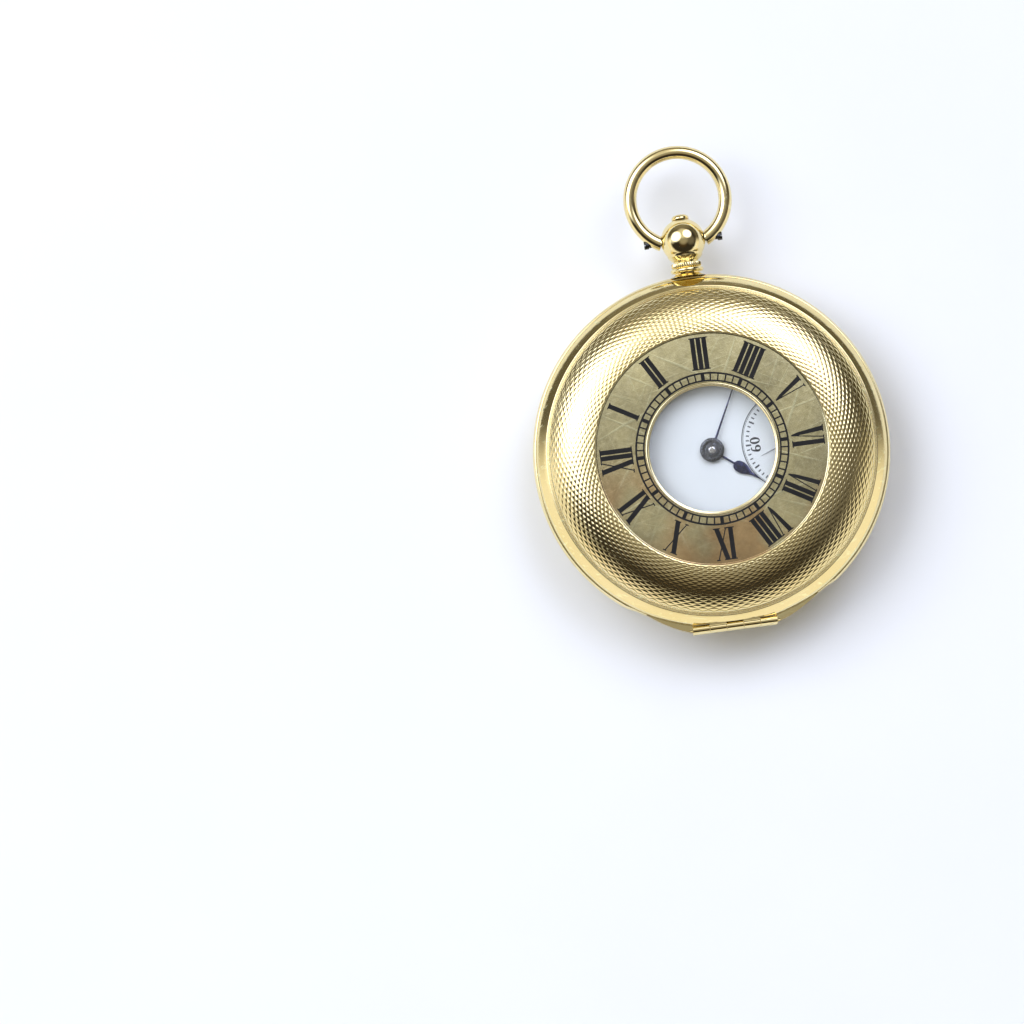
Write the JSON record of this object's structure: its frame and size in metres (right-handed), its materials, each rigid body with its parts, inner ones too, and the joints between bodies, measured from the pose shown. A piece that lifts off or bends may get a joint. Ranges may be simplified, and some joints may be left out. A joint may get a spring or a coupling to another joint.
{
  "type": "hunter pocket watch",
  "caption": "Key-wound half-hunter pocket watch in a gold case: hinged engine-turned covers, windowed chapter disc, swinging bow and a complete lever movement.",
  "frame": {"origin": "on the centre-wheel axis, at the lowest point of the closed back cover, so the watch lies dial side up on z = 0", "axes": "+Z to the dial side, +Y to the pendant and bow (III o'clock), -X to XII, +X to VI where the seconds dial is, -Y to IX where the cover hinges are"},
  "size_m": [0.05, 0.069, 0.0134],
  "materials": {
    "gold": "polished",
    "gold_engine_turned": "satin",
    "black_enamel": "gloss",
    "white_enamel": "gloss",
    "glass": "polished",
    "blued_steel": "polished",
    "steel": "polished",
    "gilt_brass": "satin",
    "ruby": "polished"
  },
  "bodies": {
    "case": {"case_middle": "gold", "pendant": "gold", "hinge_pins": "gold", "fly_spring": "steel", "case_spring_screws": "steel", "glass_bezel": "gold", "main_crystal": "glass", "dial": "white_enamel", "pillar_plate": "gilt_brass", "pillars": "gilt_brass", "top_plate": "gilt_brass", "movement_screws": "blued_steel", "case_screws": "blued_steel", "balance_cock": "gilt_brass", "hairspring_stud": "steel", "hairspring": "blued_steel", "pallet_bridge": "gilt_brass", "pivot_jewels": "ruby", "endstone": "ruby", "click_spring": "steel"},
    "bow": {"bow": "gold", "bow_screws": "steel"},
    "push_piece": {"push_piece": "gold"},
    "lock_spring": {"lock_spring": "steel"},
    "front_cover": {"front_cover": "gold_engine_turned", "aperture_bezel": "gold", "aperture_glass": "glass", "chapter_enamel": "black_enamel"},
    "back_cover": {"back_cover": "gold_engine_turned"},
    "inner_cover": {"inner_cover": "gold"},
    "centre_train": {"centre_arbor": "steel", "centre_wheel": "gilt_brass", "cannon_pinion": "steel", "minute_hand": "blued_steel"},
    "third_train": {"third_pinion": "steel", "third_wheel": "gilt_brass"},
    "fourth_train": {"fourth_pinion": "steel", "fourth_wheel": "gilt_brass", "seconds_hand": "blued_steel"},
    "escape_train": {"escape_pinion": "steel", "escape_wheel": "steel"},
    "barrel_drum": {"barrel": "gilt_brass", "barrel_cover": "gilt_brass", "mainspring": "steel"},
    "minute_work": {"minute_wheel": "gilt_brass"},
    "hour_work": {"hour_wheel": "gilt_brass", "hour_hand": "blued_steel"},
    "winding_arbor": {"barrel_arbor": "steel", "ratchet_wheel": "steel"},
    "click": {"click": "steel"},
    "balance": {"balance_wheel": "gilt_brass", "balance_screws": "gilt_brass", "balance_staff": "steel", "roller_table": "steel", "impulse_jewel": "ruby"},
    "lever": {"pallet_fork": "steel", "pallet_arbor": "steel", "pallet_stones": "ruby"},
    "regulator": {"regulator": "steel"}
  },
  "joints": [
    {"name": "bow_swing", "type": "hinge", "parent": "case", "child": "bow", "pos_m": [0, 0.0302, 0.0076], "axis": [1, 0, 0], "range_deg": [-90, 90]},
    {"name": "push_piece_press", "type": "slide", "parent": "case", "child": "push_piece", "axis": [0, -1, 0], "range_m": [0, 0.0008]},
    {"name": "lock_spring_flex", "type": "hinge", "parent": "case", "child": "lock_spring", "pos_m": [-0.01949, 0.01125, 0.0077], "axis": [0, 0, 1], "range_deg": [-3, 0.2]},
    {"name": "front_cover_hinge", "type": "hinge", "parent": "case", "child": "front_cover", "pos_m": [0, -0.02475, 0.0088], "axis": [1, 0, 0], "range_deg": [0, 100]},
    {"name": "back_cover_hinge", "type": "hinge", "parent": "case", "child": "back_cover", "pos_m": [0, -0.02475, 0.0064], "axis": [-1, 0, 0], "range_deg": [0, 110]},
    {"name": "inner_cover_hinge", "type": "hinge", "parent": "case", "child": "inner_cover", "pos_m": [0, -0.02235, 0.00585], "axis": [-1, 0, 0], "range_deg": [0, 90]},
    {"name": "centre_wheel_turn", "type": "hinge", "parent": "case", "child": "centre_train", "pos_m": [0, 0, 0.0075], "axis": [0, 0, 1], "continuous": true},
    {"name": "third_wheel_turn", "type": "hinge", "parent": "case", "child": "third_train", "pos_m": [0.00596, -0.00138, 0.006], "axis": [0, 0, 1], "continuous": true},
    {"name": "fourth_wheel_turn", "type": "hinge", "parent": "case", "child": "fourth_train", "pos_m": [0.0114, 0, 0.006], "axis": [0, 0, 1], "continuous": true},
    {"name": "escape_wheel_turn", "type": "hinge", "parent": "case", "child": "escape_train", "pos_m": [0.01227, -0.00493, 0.006], "axis": [0, 0, 1], "continuous": true},
    {"name": "barrel_turn", "type": "hinge", "parent": "case", "child": "barrel_drum", "pos_m": [-0.00573, 0.00573, 0.006], "axis": [0, 0, 1], "continuous": true},
    {"name": "minute_wheel_turn", "type": "hinge", "parent": "case", "child": "minute_work", "pos_m": [-0.00263, -0.00096, 0.0089], "axis": [0, 0, 1], "continuous": true},
    {"name": "hour_wheel_turn", "type": "hinge", "parent": "case", "child": "hour_work", "pos_m": [0, 0, 0.0093], "axis": [0, 0, 1], "continuous": true},
    {"name": "winding_arbor_turn", "type": "hinge", "parent": "case", "child": "winding_arbor", "pos_m": [-0.00573, 0.00573, 0.0045], "axis": [0, 0, 1], "continuous": true},
    {"name": "click_lift", "type": "hinge", "parent": "case", "child": "click", "pos_m": [-0.00333, 0.01023, 0.00335], "axis": [0, 0, 1], "range_deg": [0, 12]},
    {"name": "balance_swing", "type": "hinge", "parent": "case", "child": "balance", "pos_m": [0.00668, -0.01052, 0.0045], "axis": [0, 0, 1], "range_deg": [-20, 20]},
    {"name": "lever_rock", "type": "hinge", "parent": "case", "child": "lever", "pos_m": [0.00965, -0.00755, 0.0051], "axis": [0, 0, 1], "range_deg": [-4.5, 4.5]},
    {"name": "regulator_sweep", "type": "hinge", "parent": "case", "child": "regulator", "pos_m": [0.00668, -0.01052, 0.0025], "axis": [0, 0, 1], "range_deg": [-8, 8]}
  ],
  "couplings": [
    {"joint": "lock_spring_flex", "follows": "push_piece_press", "rad_per_m": -51.269},
    {"joint": "inner_cover_hinge", "follows": "back_cover_hinge", "ratio": 0.8},
    {"joint": "third_wheel_turn", "follows": "centre_wheel_turn", "ratio": -8},
    {"joint": "fourth_wheel_turn", "follows": "centre_wheel_turn", "ratio": 60},
    {"joint": "escape_wheel_turn", "follows": "centre_wheel_turn", "ratio": -600},
    {"joint": "barrel_turn", "follows": "centre_wheel_turn", "ratio": -0.125},
    {"joint": "minute_wheel_turn", "follows": "centre_wheel_turn", "ratio": -0.33333},
    {"joint": "hour_wheel_turn", "follows": "centre_wheel_turn", "ratio": 0.083333},
    {"joint": "lever_rock", "follows": "balance_swing", "ratio": -0.2125}
  ]
}
